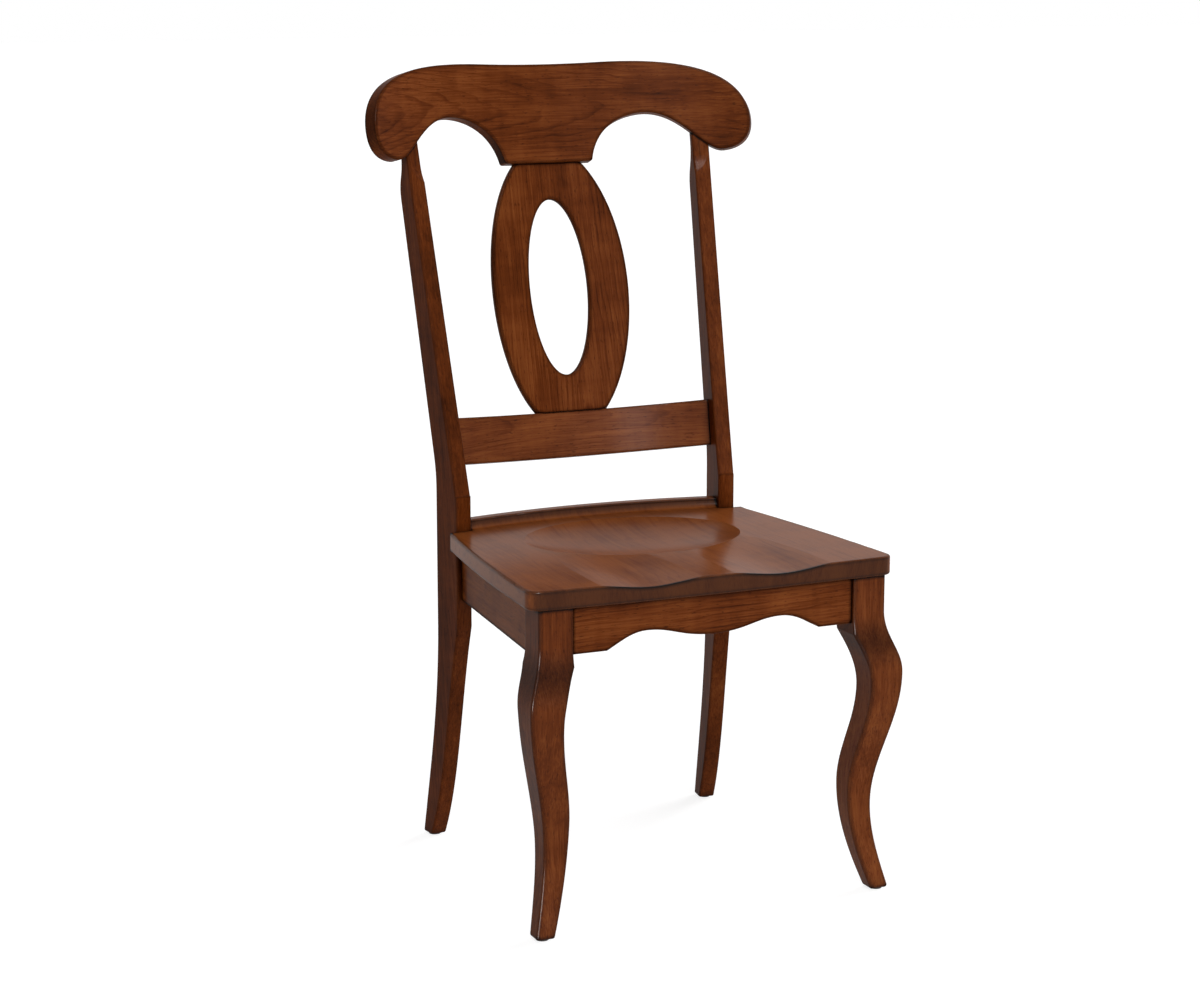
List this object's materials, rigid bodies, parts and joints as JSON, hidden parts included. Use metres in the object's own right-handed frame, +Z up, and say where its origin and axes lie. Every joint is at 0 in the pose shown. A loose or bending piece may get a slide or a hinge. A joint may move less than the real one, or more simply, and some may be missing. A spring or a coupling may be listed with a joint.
{
  "type": "side chair",
  "caption": "Wooden side chair with cabriole front legs, dished plank seat, scalloped front apron, bent crest rail and a splat pierced by a tall oval.",
  "frame": {"origin": "on the floor, at the middle of the chair's bounding box", "axes": "+Z up, the chair faces -Y, +X is to the right of a viewer who faces its front"},
  "size_m": [0.5882, 0.6232, 1.0834],
  "materials": {
    "stained_wood": "satin clear coat over a reddish-brown stain",
    "bare_wood": "sanded, no coat",
    "zinc_steel": "zinc plated",
    "nylon": "moulded, dull"
  },
  "bodies": {
    "root": {"seat_panel": "stained_wood", "front_apron": "stained_wood", "rear_apron": "stained_wood", "side_apron_left": "stained_wood", "side_apron_right": "stained_wood", "front_leg_left": "stained_wood", "front_leg_right": "stained_wood", "rear_post_left": "stained_wood", "rear_post_right": "stained_wood", "crest_rail": "stained_wood", "back_splat": "stained_wood", "lower_back_rail": "stained_wood", "corner_block_front_left": "bare_wood", "corner_block_front_right": "bare_wood", "corner_block_rear_left": "bare_wood", "corner_block_rear_right": "bare_wood", "crest_dowels": "bare_wood", "leg_bolts": "zinc_steel", "leg_bolt_washers": "zinc_steel", "leg_bolt_nuts": "zinc_steel", "block_screws": "zinc_steel", "seat_screws": "zinc_steel", "glide_nails": "zinc_steel", "foot_glides": "nylon"}
  },
  "joints": []
}
